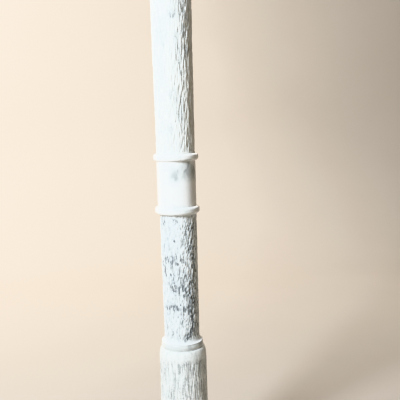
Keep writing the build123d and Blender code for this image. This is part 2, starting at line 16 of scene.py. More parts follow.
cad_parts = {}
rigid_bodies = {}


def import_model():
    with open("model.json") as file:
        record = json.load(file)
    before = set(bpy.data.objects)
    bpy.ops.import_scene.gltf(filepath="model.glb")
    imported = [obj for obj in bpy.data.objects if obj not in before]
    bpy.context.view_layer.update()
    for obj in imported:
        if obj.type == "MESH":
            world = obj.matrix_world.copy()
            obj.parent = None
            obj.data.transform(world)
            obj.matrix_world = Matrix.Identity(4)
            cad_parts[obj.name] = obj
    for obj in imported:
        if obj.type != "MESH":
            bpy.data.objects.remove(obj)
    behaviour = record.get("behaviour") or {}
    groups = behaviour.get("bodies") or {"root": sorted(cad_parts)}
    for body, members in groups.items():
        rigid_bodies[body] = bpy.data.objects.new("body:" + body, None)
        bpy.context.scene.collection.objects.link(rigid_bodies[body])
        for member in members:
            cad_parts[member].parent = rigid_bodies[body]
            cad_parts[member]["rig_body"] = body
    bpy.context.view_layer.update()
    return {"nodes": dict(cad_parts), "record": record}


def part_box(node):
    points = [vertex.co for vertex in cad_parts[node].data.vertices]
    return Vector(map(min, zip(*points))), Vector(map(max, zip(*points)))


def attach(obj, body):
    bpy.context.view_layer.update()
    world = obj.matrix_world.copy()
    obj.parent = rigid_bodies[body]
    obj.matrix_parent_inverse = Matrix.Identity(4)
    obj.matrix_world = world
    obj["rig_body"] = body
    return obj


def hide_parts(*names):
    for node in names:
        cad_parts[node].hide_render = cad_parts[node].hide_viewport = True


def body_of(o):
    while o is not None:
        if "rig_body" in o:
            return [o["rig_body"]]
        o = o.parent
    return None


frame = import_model()
nodes = frame["nodes"]
slots = {part["node"]: part["material_slot"] for part in frame["record"]["subparts"]}

MM = 0.001
STONE_BORE_R = 5.5          # drilled through every stone
BORE_LIP = 0.4              # chamfer at each end of that bore
STONE_LIP_R = STONE_BORE_R + BORE_LIP
THREAD_BORE_R = 4.9         # bored in whatever is threaded on the rod


# -------- noise on points
NOISE_TABLE = 4096          # random numbers in a table, a power of 2
HASH_PRIMES = (73856093, 19349663, 83492791)


def value_noise(points, size, seed):
    """Smooth noise from -1 to 1 at points (n, 3) in mm; size is the width of one bump in mm."""
    table = np.random.default_rng(seed).uniform(-1, 1, NOISE_TABLE)
    place = points / size
    cell = np.floor(place).astype(np.int64)
    part = place - cell
    part = part * part * (3 - 2 * part)
    total = np.zeros(len(points))
    for corner in np.ndindex(2, 2, 2):
        hashed = (cell + np.array(corner)) * HASH_PRIMES
        key = (hashed[:, 0] ^ hashed[:, 1] ^ hashed[:, 2]) & (NOISE_TABLE - 1)
        weight = np.prod(np.where(corner, part, 1 - part), axis=1)
        total += table[key] * weight
    return total


def layered_noise(points, size, seed, layers=4):
    """Several sizes of value_noise added up, each half as wide and half as strong."""
    total = np.zeros(len(points))
    for i in range(layers):
        total += value_noise(points, size / 2 ** i, seed + i) / 2 ** i
    return total


def smooth(low, high, value):
    """0 below low, 1 above high, smooth between; low may be the larger one."""
    t = np.clip((value - low) / (high - low), 0, 1)
    return t * t * (3 - 2 * t)


# -------- lathe profiles, in mm
def run(start, end, step):
    """Points from start up to, and without, end, about one step apart."""
    start, end = np.array(start, float), np.array(end, float)
    count = max(1, round(np.linalg.norm(end - start) / step))
    return start + (end - start) * np.arange(count)[:, None] / count


def path(step, *corners):
    """Points along straight runs from corner to corner, without the last corner."""
    return np.vstack([run(a, b, step) for a, b in zip(corners, corners[1:])])


def bow(start, middle, end, step):
    """Points along the circular arc through three points, without its end."""
    (ax, ay), (bx, by), (cx, cy) = start, middle, end
    d = 2 * (ax * (by - cy) + bx * (cy - ay) + cx * (ay - by))
    a2, b2, c2 = ax ** 2 + ay ** 2, bx ** 2 + by ** 2, cx ** 2 + cy ** 2
    ux = (a2 * (by - cy) + b2 * (cy - ay) + c2 * (ay - by)) / d
    uy = (a2 * (cx - bx) + b2 * (ax - cx) + c2 * (bx - ax)) / d
    radius = math.hypot(ax - ux, ay - uy)
    first = math.atan2(ay - uy, ax - ux)
    turn = math.atan2(cy - uy, cx - ux) - first
    ccw = (bx - ax) * (cy - ay) - (by - ay) * (cx - ax) > 0
    turn = turn % (2 * math.pi) if ccw else -(-turn % (2 * math.pi))
    count = max(6, round(abs(turn) * radius / step))
    angle = first + turn * np.arange(count) / count
    return np.column_stack([ux + radius * np.cos(angle), uy + radius * np.sin(angle)])


def oval(centre, r_size, z_size, from_deg, to_deg, step):
    """Points along part of an ellipse, without its end; 0 degrees points outwards."""
    length = abs(math.radians(to_deg - from_deg)) * (r_size + z_size) / 2
    count = max(4, round(length / step))
    angle = np.radians(from_deg + (to_deg - from_deg) * np.arange(count) / count)
    return np.column_stack([centre[0] + r_size * np.cos(angle),
                            centre[1] + z_size * np.sin(angle)])


def upside_down(wall):
    """The same wall on a piece that is turned over."""
    return (wall * [1, -1] + [0, wall[:, 1].max()])[::-1]


# -------- chisel strokes
class Chisel:
    """How one kind of wall is tooled: stroke sizes in mm, lean (mean, spread) in degrees.

    spacing is how far apart the strokes are, as shares of their width and of their length.
    splinter is how rough the tooled wall is, in mm.
    """

    SHIFT = (0.5, 0.6)              # how far a stroke may be off its place, in steps
    HALF_WIDTHS = (0.38, 0.72)      # least and most, as shares of the width
    HALF_LENGTHS = (0.32, 0.72)     # least and most, as shares of the length
    DEPTHS = (0.25, 1.0)            # least and most, as shares of the depth

    def __init__(self, width, length, depth, lean, spacing, splinter, seed):
        self.width = width
        self.length = length
        self.depth = depth
        self.lean = lean
        self.spacing = spacing
        self.splinter = splinter
        self.seed = seed

    def cut(self, around, up, turn):
        """Depth and a shade per stroke on a wall unrolled to around (columns) by up (rows)."""
        rng = np.random.default_rng(self.seed)
        depth = np.zeros((len(up), len(around)))
        shade = np.full(depth.shape, 0.5)
        column_step = self.width * self.spacing[0]
        row_step = self.length * self.spacing[1]
        columns = round(turn / column_step)
        low, high = up[0] - self.length, up[-1] + self.length
        for row_z in np.arange(low, high, row_step):
            for column in range(columns):
                u0 = (column + rng.uniform(-self.SHIFT[0], self.SHIFT[0])) * turn / columns
                z0 = row_z + rng.uniform(-self.SHIFT[1], self.SHIFT[1]) * row_step
                half_w = self.width * rng.uniform(*self.HALF_WIDTHS)
                half_l = self.length * rng.uniform(*self.HALF_LENGTHS)
                deep = self.depth * rng.uniform(*self.DEPTHS) ** 1.2
                lean = math.tan(math.radians(rng.normal(*self.lean)))
                tone = rng.uniform()
                rows = np.flatnonzero(abs(up - z0) < half_l)
                if len(rows) == 0:
                    continue
                reach = half_w + abs(lean) * half_l
                cell = turn / len(around)
                first = math.floor((u0 - reach) / cell)
                last = math.ceil((u0 + reach) / cell)
                picked = np.arange(first, last + 1)
                v = (up[rows] - z0)[:, None]
                u = picked[None, :] * cell - u0 - lean * v
                # a rounded bed, which starts gently at the top and stops short at the foot
                across = 1 - np.abs(u / half_w) ** 1.7
                along = (1 - v / half_l) / 2
                bite = deep * across * np.clip(along, 0, 1) ** 0.6 * (1 - along ** 10) * 1.2
                window = np.ix_(rows, picked % len(around))
                lower = bite > depth[window]
                depth[window] = np.where(lower, bite, depth[window])
                shade[window] = np.where(lower, tone, shade[window])
        return depth, shade


def soften(grid, share):
    """Wear the sharpest ridges down: mix each value with its four neighbours."""
    ring = (np.roll(grid, 1, 1) + np.roll(grid, -1, 1)) / 4
    padded = np.pad(grid, ((1, 1), (0, 0)), mode="edge")
    ring += (padded[:-2] + padded[2:]) / 4
    return grid * (1 - share) + ring * share


# -------- veins
class Vein:
    """A grey streak on a wall: from one (degrees, mm up) to another, with a half width in mm.

    Degrees are counted from the front (-Y) towards +X, and mm from the stone's own foot. A
    streak ends at 180 degrees: it doesn't run on to the other side. ragged is how far it
    wanders off its line, in mm.
    """

    FADE = (0.45, 1.25)     # it fades out between these shares of its half width

    def __init__(self, start, end, half, strength, ragged):
        self.start = start
        self.end = end
        self.half = half
        self.strength = strength
        self.ragged = ragged

    def mask(self, degrees, up, radius, wander):
        """Strength of the streak at each point; wander is a pair of noises that bends it."""
        per_degree = math.radians(1) * radius
        u = degrees * per_degree + wander[0] * self.ragged
        v = up + wander[1] * self.ragged
        a = np.array([self.start[0] * per_degree, self.start[1]])
        b = np.array([self.end[0] * per_degree, self.end[1]])
        line = b - a
        share = ((u - a[0]) * line[0] + (v - a[1]) * line[1]) / (line @ line)
        share = np.clip(share, 0, 1)
        gap = np.hypot(u - a[0] - share * line[0], v - a[1] - share * line[1])
        return self.strength * smooth(self.half * self.FADE[1], self.half * self.FADE[0], gap)


def natural_veins(points, seed, amount):
    """Thin wandering grey lines and pale clouds that run through the whole block.

    The lines are where a noise passes through 0, so their widths are in its own units.
    """
    bend_size, bend_by, field_size, fine_size, patch_size = 30, 14, 70, 34, 90
    line_half, hair_half = 0.07, 0.045
    line_grey, hair_grey, cloud_grey = 0.75, 0.6, 0.25
    bend = np.column_stack([layered_noise(points, bend_size, seed + i * 7) for i in range(3)])
    bent = points + bend * bend_by
    field = layered_noise(bent, field_size, seed + 40, 3)
    fine = layered_noise(bent, fine_size, seed + 60, 3)
    patch = smooth(-0.15, 0.65, layered_noise(points, patch_size, seed + 80, 2))
    line = smooth(line_half, 0.0, np.abs(field)) * patch * line_grey
    hair = smooth(hair_half, 0.0, np.abs(fine)) * patch * hair_grey
    cloud = smooth(0.25, 0.95, field) * cloud_grey
    return np.clip((line + hair + cloud) * amount, 0, 1)


# -------- building a mesh
STONE_SHARP_DEG = 55        # edges above this angle stay crisp
TURNED_SHARP_DEG = 40
NODE_SHARP_DEG = 32


def cylinder_points(radius, around, up):
    """Cylinder coordinates to x, y, z; an angle of 0 faces the front and grows towards +X."""
    return np.column_stack([(radius * np.sin(around)).ravel(),
                            (-radius * np.cos(around)).ravel(), up.ravel()])


def new_object(name, data):
    """An object of this data, linked into the scene."""
    made = bpy.data.objects.new(name, data)
    bpy.context.scene.collection.objects.link(made)
    return made


def lathe_mesh(name, points, rows, columns, closed=True):
    """Mesh of a grid that wraps round each row, and from the last row to the first if closed."""
    row = np.arange(rows if closed else rows - 1)[:, None]
    column = np.arange(columns)[None, :]
    next_row = (row + 1) % rows
    next_column = (column + 1) % columns
    quads = np.stack([row * columns + column, row * columns + next_column,
                      next_row * columns + next_column, next_row * columns + column], -1)
    mesh = bpy.data.meshes.new(name)
    mesh.vertices.add(len(points))
    mesh.vertices.foreach_set("co", (points * MM).astype(np.float32).ravel())
    mesh.loops.add(quads.size)
    mesh.loops.foreach_set("vertex_index", quads.astype(np.int32).ravel())
    mesh.polygons.add(quads.size // 4)
    mesh.polygons.foreach_set("loop_start", np.arange(0, quads.size, 4, dtype=np.int32))
    mesh.update(calc_edges=True)
    return new_object(name, mesh)


def smooth_shaded(piece, sharp_deg):
    """Smooth shading with edges kept crisp above an angle."""
    piece.data.shade_smooth()
    piece.data.set_sharp_from_angle(angle=math.radians(sharp_deg))


def stands_for(piece, node):
    """The piece takes the node's place, body, slot and material."""
    slot = slots[node]
    piece.data.materials.append(MATERIALS[slot])
    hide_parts(node)
    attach(piece, body_of(nodes[node])[0])


def add_values(piece, name, values):
    """Store one number on each point, for the material to read."""
    layer = piece.data.attributes.new(name, "FLOAT", "POINT")
    layer.data.foreach_set("value", values.astype(np.float32))


def edge_fade(up, margin):
    """0 at both ends of a wall and 1 from margin inwards."""
    return smooth(0, margin, np.minimum(up - up[0], up[-1] - up))


def stone_profile(wall, under, rims):
    """The whole outline of a stone, and which of its rows are the wall."""
    rim_w = 1.5     # how far in from the edge the rims begin
    height = wall[-1, 1]
    bore = np.array([[STONE_BORE_R, height - BORE_LIP]])
    if under is None:
        bore = np.vstack([bore, [[STONE_BORE_R, BORE_LIP]]])
        under = path(6, (STONE_LIP_R, 0), (wall[0, 0] - rim_w, 0), wall[0])
    over = path(6, (wall[-1, 0] - rim_w, height), (STONE_LIP_R, height))
    over = np.vstack([over, [[STONE_LIP_R, height]]])
    wall = wall.copy()
    wall[:, 1] += rims[1] * smooth(height - rim_w, height, wall[:, 1])
    wall[:, 1] -= rims[0] * smooth(rim_w, 0, wall[:, 1])
    outer = slice(len(under), len(under) + len(wall))
    return np.vstack([under, wall, over, bore]), outer


def tool_wall(radius, around, up, mean_r, foot, seed, chisel, tooled):
    """Wear a wall down a little and cut its strokes, by changing radius (rows by columns).

    Returns how deep each point is cut, from 0 to 1, and the shade of its stroke.
    """
    wear, wear_mean, wear_margin = 0.12, 0.6, 1.5       # waviness, which spares the ends
    ridge_wear, strokes_margin, most_raised = 0.22, 2.5, 0.1
    grain_depth = 0.03 if chisel else 0.009
    heights = up[:, 0]
    place = cylinder_points(radius, around, up) + [0, 0, foot]
    carve = np.zeros(radius.shape)
    shade = np.full(radius.shape, 0.5)
    worn = layered_noise(place, 38, seed + 3, 2).reshape(radius.shape)
    radius -= wear * (wear_mean + worn) * edge_fade(heights, wear_margin)[:, None]
    if chisel is not None:
        cut, tone = chisel.cut(around[0] * mean_r, heights, 2 * math.pi * mean_r)
        splinter = layered_noise(place * [1, 1, 0.2], 1.9, seed + 5, 3).reshape(radius.shape)
        cut = soften(cut, ridge_wear) + chisel.splinter * splinter
        weight = (tooled(heights) * edge_fade(heights, strokes_margin))[:, None]
        radius -= np.clip(cut, -most_raised, None) * weight
        carve = np.clip(cut / chisel.depth, 0, 1) * weight
        shade = 0.5 + (tone - 0.5) * weight
    grain = layered_noise(place, 1.6, seed + 9, 2).reshape(radius.shape)
    radius -= grain_depth * grain
    return carve, shade


def add_streaks(grey, points, around, up, mean_r, seed, veins):
    """The grey at each point, with the streaks that are drawn on the wall."""
    degrees = np.degrees((around + math.pi) % (2 * math.pi) - math.pi)
    wander = [layered_noise(points, 16, seed + 11 + 6 * i, 4) for i in range(2)]
    broken = 0.5 + 0.5 * smooth(-0.5, 0.45, layered_noise(points * [1, 1, 0.5], 5, seed + 29, 3))
    for vein in veins:
        grey = np.maximum(grey, broken * vein.mask(degrees, up, mean_r, wander))
    return grey


def build_stone(name, wall, columns, seed, vein_amount, veins=(), chisel=None, tooled=None,
                under=None, rims=(0, 0), base_grey=0.0):
    """One marble piece: wall is its outer profile in mm from its own foot.

    columns is how many points go round it, and seed starts its noises. vein_amount is the
    strength of the veins all through it, veins are the streaks drawn on its wall, and
    base_grey is the least grey anywhere; on rough marble it is darkened in the pits as
    painted shade. On the drum and its collar base_grey is raised partly as painted shade for
    the weaker light low down. chisel cuts strokes where tooled(height) is above 0. under is
    the way from the bore to the wall's foot, where the underside isn't flat. rims are how
    far the edges of its lower and upper joint faces reach past the faces and hide the
    gasket. The wall stands where the node's box does, and the bore stays on the axis.
    """
    low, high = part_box(name)
    foot = low.z / MM
    off_axis = (low.x + high.x) / 2 / MM
    profile, outer = stone_profile(wall, under, rims)
    mean_r = profile[outer, 0].mean()
    angle = 2 * math.pi * np.arange(columns) / columns
    radius = np.repeat(profile[:, :1], columns, 1)
    up = np.repeat(profile[:, 1:], columns, 1)
    around = np.repeat(angle[None, :], len(profile), 0)
    carve = np.zeros(radius.shape)
    shade = np.full(radius.shape, 0.5)
    carve[outer], shade[outer] = tool_wall(radius[outer], around[outer], up[outer], mean_r,
                                           foot, seed, chisel, tooled)

    points = cylinder_points(radius, around, up) + [0, 0, foot]
    points[:, 0] += off_axis * smooth(STONE_LIP_R, 2 * STONE_BORE_R, radius.ravel())
    grey = np.maximum(natural_veins(points, seed, vein_amount), base_grey)
    grey = add_streaks(grey, points, around.ravel(), up.ravel(), mean_r, seed, veins)
    piece = lathe_mesh(name + "_stone", points, len(profile), columns)
    add_values(piece, "vein", grey)
    add_values(piece, "carve", carve.ravel())
    add_values(piece, "stroke", shade.ravel())
    smooth_shaded(piece, STONE_SHARP_DEG)
    stands_for(piece, name)
    return piece


def build_turned(name, outline, columns=96, warp=None, at=(0, 0), closed=True):
    """A turned piece: outline is (radius, height) in mm from the node's own foot.

    warp(around, up, radius) gives what is added to the radius, such as a thread or a knurl.
    An outline that isn't closed starts and ends on the axis.
    """
    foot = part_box(name)[0].z / MM
    around = np.repeat(2 * math.pi * np.arange(columns)[None, :] / columns, len(outline), 0)
    radius = np.repeat(outline[:, :1], columns, 1)
    up = np.repeat(outline[:, 1:], columns, 1)
    if warp is not None:
        radius = radius + warp(around, up, radius)
    points = cylinder_points(radius, around, up) + [at[0], at[1], foot]
    piece = lathe_mesh(name + "_turned", points, len(outline), columns, closed)
    if not closed:
        merge_points(piece)
    smooth_shaded(piece, TURNED_SHARP_DEG)
    stands_for(piece, name)


def merge_points(piece):
    """Close the ends on the axis: points in the same place become one."""
    same_place = 0.001 * MM
    shape = bmesh.new()
    shape.from_mesh(piece.data)
    bmesh.ops.remove_doubles(shape, verts=shape.verts, dist=same_place)
    shape.to_mesh(piece.data)
    shape.free()


# -------- materials
class Shader:
    """A node material being built: a few short calls for the nodes that are used here."""

    def __init__(self, name):
        self.material = bpy.data.materials.new(name)
        self.material.use_nodes = True
        self.tree = self.material.node_tree
        self.surface = self.tree.nodes["Principled BSDF"]
        self.place = self.tree.nodes.new("ShaderNodeTexCoord").outputs["Object"]

    def add(self, kind, *links, **settings):
        """New node; links are (socket name, value or socket), settings are its properties."""
        node = self.tree.nodes.new(kind)
        for key, value in settings.items():
            setattr(node, key, value)
        for socket, value in links:
            self.put(node.inputs[socket], value)
        return node

    def put(self, socket, value):
        """Link a socket, or set its constant."""
        if isinstance(value, bpy.types.NodeSocket):
            self.tree.links.new(value, socket)
        else:
            socket.default_value = value

    def set(self, name, value):
        self.put(self.surface.inputs[name], value)

    def stretched(self, x, y, z):
        """The place on the object, scaled along each axis."""
        return self.add("ShaderNodeMapping", ("Vector", self.place),
                        ("Scale", (x, y, z))).outputs["Vector"]

    def noise(self, scale, detail=4.0, roughness=0.55, distortion=0.0, place=None):
        return self.add("ShaderNodeTexNoise", ("Vector", place or self.place), ("Scale", scale),
                        ("Detail", detail), ("Roughness", roughness),
                        ("Distortion", distortion)).outputs["Fac"]

    def value(self, name):
        """A number stored on the mesh."""
        return self.add("ShaderNodeAttribute", attribute_name=name).outputs["Fac"]

    def math(self, operation, a, b=0.0, c=0.0):
        return self.add("ShaderNodeMath", (0, a), (1, b), (2, c),
                        operation=operation).outputs[0]

    def span(self, value, from_low, from_high, to_low=0.0, to_high=1.0):
        """Map one range of numbers onto another, held at its ends."""
        return self.add("ShaderNodeMapRange", ("Value", value), ("From Min", from_low),
                        ("From Max", from_high), ("To Min", to_low), ("To Max", to_high)
                        ).outputs["Result"]

    def mix(self, share, a, b, blend="MIX"):
        node = self.add("ShaderNodeMix", data_type="RGBA", blend_type=blend)
        self.put(node.inputs[0], share)
        self.put(node.inputs[6], a)
        self.put(node.inputs[7], b)
        return node.outputs[2]

    def ramp(self, value, *stops):
        """Colours along 0 to 1; each stop is (place, colour)."""
        node = self.add("ShaderNodeValToRGB", ("Fac", value))
        ramp = node.color_ramp
        while len(ramp.elements) < len(stops):
            ramp.elements.new(0.5)
        for element, (at, colour) in zip(ramp.elements, stops):
            element.position = at
            element.color = colour
        return node.outputs["Color"]

    def bump(self, height, strength, distance, after=None):
        node = self.add("ShaderNodeBump", ("Height", height), ("Strength", strength),
                        ("Distance", distance))
        if after is not None:
            self.put(node.inputs["Normal"], after)
        return node.outputs["Normal"]


def colour(r, g, b):
    return (r, g, b, 1.0)


def marble(name, polished, white=(0.91, 0.91, 0.89), pits=(0.5, 1.5), uneven=(0.45, 1.35)):
    """White marble with blue-grey veins from the mesh; polished, or rough from the chisel.

    white is the colour of the plain stone, which drifts a little towards cream and a cooler
    white. On rough marble, pits says how strongly a vein shows on the ridges and in the pits
    that the chisel left, stronger in the pits as painted shade, and uneven how much that
    differs from stroke to stroke. The deepest pits are also mixed towards a warm grey as
    painted shade.
    """
    s = Shader(name)
    cloud = s.noise(14, 5, 0.6, 0.6)
    cream = [share * c for share, c in zip((0.94, 0.93, 0.91), white)]
    cool = [share * c for share, c in zip((0.93, 0.955, 0.975), white)]
    body = s.ramp(cloud, (0.30, colour(*cream)), (0.50, colour(*white)),
                  (0.70, colour(*cool)))
    crystal = s.noise(1500, 2, 0.7)
    body = s.mix(s.span(crystal, 0.35, 0.65, 0.0, 0.10), body, colour(0.62, 0.63, 0.62))

    breakup = s.noise(420, 3, 0.7)
    streaks = s.noise(1.0, 3, 0.6, 0.3, s.stretched(260, 260, 60))
    ragged = s.span(s.math("ADD", breakup, streaks), 0.75, 1.25, 0.35, 1.5)
    grey = s.value("vein")
    if not polished:
        bruise = s.span(s.value("stroke"), 0.0, 1.0, *uneven)
        # vein grey made weaker on the chisel's ridges and stronger in its pits: painted shade in
        # the pits
        pit_shade_scale = s.span(s.value("carve"), 0.04, 0.45, *pits)
        ragged = s.math("MULTIPLY", s.math("MULTIPLY", ragged, bruise), pit_shade_scale)
        grey = s.math("MULTIPLY", grey, ragged)
    else:
        grey = s.math("MULTIPLY", grey, s.span(s.noise(90, 4, 0.6), 0.3, 0.7, 0.75, 1.15))
    stain = s.ramp(grey, (0.0, colour(1, 1, 1)), (0.25, colour(0.79, 0.815, 0.82)),
                   (0.55, colour(0.45, 0.475, 0.485)), (1.0, colour(0.16, 0.175, 0.19)))
    face = s.mix(1.0, body, stain, "MULTIPLY")
    if not polished:
        # deepest pits mixed towards a warm grey in noisy patches: painted shade in the pits
        deep = s.span(s.value("carve"), 0.25, 1.0)
        pit_shade_patches = s.span(s.noise(60, 4), 0.35, 0.7, 0.15, 0.5)
        face = s.mix(s.math("MULTIPLY", deep, pit_shade_patches), face, colour(0.46, 0.44, 0.40))
    s.set("Base Color", face)
    if polished:
        s.set("Roughness", s.span(s.noise(45, 5, 0.6), 0.3, 0.7, 0.20, 0.36))
        s.set("Coat Weight", 0.15)
        s.set("Coat Roughness", 0.12)
        s.set("Normal", s.bump(s.noise(240, 4), 0.10, 0.0006))
    else:
        s.set("Roughness", s.span(s.noise(500, 4, 0.6), 0.3, 0.7, 0.52, 0.78))
        coarse = s.bump(s.noise(700, 4, 0.65), 0.35, 0.0005)
        s.set("Normal", s.bump(crystal, 0.2, 0.0002, coarse))
    s.set("IOR", 1.5)
    return s.material


def brass(name, low, high, dull):
    """Brass with handling marks: patches of patina, and fine turning lines round the axis.

    low and high are its darker and lighter colour, and dull is its middle roughness.
    """
    s = Shader(name)
    patch = s.noise(34, 6, 0.62, 0.4)
    metal = s.ramp(patch, (0.25, colour(*low)), (0.55, colour(*high)),
                   (0.85, colour(*[0.82 * c for c in high])))
    fleck = s.span(s.noise(420, 3, 0.7), 0.62, 0.74, 0.0, 0.5)
    s.set("Base Color", s.mix(fleck, metal, colour(0.22, 0.14, 0.06)))
    s.set("Metallic", 1.0)
    s.set("Roughness", s.span(s.noise(60, 5, 0.6), 0.3, 0.7, dull - 0.06, dull + 0.10))
    lines = s.noise(1.0, 2, 0.5, 0.0, s.stretched(20, 20, 2600))
    s.set("Normal", s.bump(lines, 0.06, 0.0001, s.bump(s.noise(160, 4), 0.08, 0.0002)))
    return s.material


def plated_steel(name, tint, dull):
    """Zinc or nickel plating, with a cloudy grain and small dark nicks."""
    s = Shader(name)
    cloudy = s.noise(120, 5, 0.6, 0.5)
    dark = [0.72 * c for c in tint]
    metal = s.ramp(cloudy, (0.3, colour(*dark)), (0.7, colour(*tint)))
    nick = s.span(s.noise(700, 2, 0.6), 0.66, 0.75, 0.0, 0.6)
    s.set("Base Color", s.mix(nick, metal, colour(0.16, 0.15, 0.14)))
    s.set("Metallic", 1.0)
    s.set("Roughness", s.span(s.noise(200, 4), 0.3, 0.7, dull - 0.08, dull + 0.12))
    s.set("Normal", s.bump(s.noise(900, 3), 0.12, 0.00015))
    return s.material


def felt(name):
    """Pressed wool: dark green fibres with lint."""
    s = Shader(name)
    fibre = s.noise(1.0, 5, 0.75, 1.2, s.stretched(1400, 900, 1100))
    wool = s.ramp(fibre, (0.3, colour(0.010, 0.030, 0.018)), (0.7, colour(0.045, 0.105, 0.065)))
    lint = s.span(s.noise(1900, 2, 0.6), 0.70, 0.78, 0.0, 0.7)
    s.set("Base Color", s.mix(lint, wool, colour(0.30, 0.33, 0.28)))
    s.set("Roughness", s.span(fibre, 0.2, 0.8, 0.85, 1.0))
    s.set("Sheen Weight", 0.5)
    s.set("Normal", s.bump(fibre, 0.7, 0.0008))
    return s.material


def plastic(name, tint, dull):
    """Moulded plastic: even colour with faint flow marks, wear and orange peel."""
    s = Shader(name)
    flow = s.noise(40, 4, 0.5, 0.8)
    worn = [c + 0.03 for c in tint]
    s.set("Base Color", s.ramp(flow, (0.3, colour(*tint)), (0.75, colour(*worn))))
    s.set("Roughness", s.span(s.noise(150, 4), 0.3, 0.7, dull - 0.06, dull + 0.12))
    s.set("Normal", s.bump(s.noise(1100, 2), 0.08, 0.0001))
    return s.material


def board(name, light, dark):
    """Pressed fibre or waxed card, with short fibres in it."""
    s = Shader(name)
    fibre = s.noise(1.0, 5, 0.7, 0.9, s.stretched(500, 900, 300))
    s.set("Base Color", s.ramp(fibre, (0.3, colour(*dark)), (0.7, colour(*light))))
    s.set("Roughness", s.span(fibre, 0.2, 0.8, 0.7, 0.9))
    s.set("Normal", s.bump(fibre, 0.4, 0.0002))
    return s.material


MATERIALS = {
    "marble_polished": marble("marble_polished", True),
    "marble_tooled": marble("marble_tooled", False, white=(0.93, 0.925, 0.895),
                            pits=(0.75, 1.3), uneven=(0.7, 1.2)),
    "marble_veined": marble("marble_veined", False, white=(0.89, 0.91, 0.915),
                            pits=(0.25, 1.5)),
    "brass_polished": brass("brass_polished", (0.55, 0.36, 0.14), (0.80, 0.57, 0.25),
                            dull=0.20),
    "brass_shell": brass("brass_shell", (0.58, 0.40, 0.17), (0.76, 0.56, 0.27), dull=0.34),
    "zinc_steel": plated_steel("zinc_steel", (0.50, 0.49, 0.46), dull=0.38),
    "bright_metal": plated_steel("bright_metal", (0.82, 0.78, 0.70), dull=0.24),
    "felt": felt("felt"),
    "black_plastic": plastic("black_plastic", (0.016, 0.015, 0.014), dull=0.32),
    "phenolic": plastic("phenolic", (0.030, 0.022, 0.018), dull=0.50),
    "card": board("card", (0.55, 0.42, 0.26), (0.38, 0.27, 0.15)),
    "fibre": board("fibre", (0.17, 0.14, 0.11), (0.09, 0.07, 0.06)),
}


# -------- the marble stack
def size_of(name):
    """Outer radius and height of a node, in mm."""
    low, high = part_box(name)
    return (high.x - low.x) / 2 / MM, (high.z - low.z) / MM


DRUM_TAPER = 0.95           # how much narrower the drum is at its shoulder
SHOULDER_H = 13.0
SHOULDER_IN = 3.6           # how far the shoulder draws in
SHOULDER_FADE = 4           # how far above and below its edge the strokes fade
FLARE_H = 6.0               # a shaft's flared end, next to its collar
FLARE_EDGE_H = 0.8          # upright edge of the flare
FLARE_OUT = 3.5             # how far the flare stands out
JOINT_RIM = 0.42            # edge of a joint face that hides the gasket beside it


def shaft_wall(flare_r, height, widening, step):
    """Shaft on a flared foot: an upright edge, a cove, and a wall that widens by widening."""
    foot_r = flare_r - FLARE_OUT
    head_r = foot_r + widening
    foot_edge, head_in, head_edge = 0.3, 0.4, 0.5
    return np.vstack([
        path(0.4, (flare_r - foot_edge, 0), (flare_r, foot_edge), (flare_r, FLARE_EDGE_H)),
        oval((flare_r, FLARE_H), FLARE_OUT, FLARE_H - FLARE_EDGE_H, 270, 180, 0.45),
        run((foot_r, FLARE_H), (head_r, height - head_edge), step),
        path(0.4, (head_r, height - head_edge), (head_r - head_in, height)),
        [[head_r - head_in, height]]])


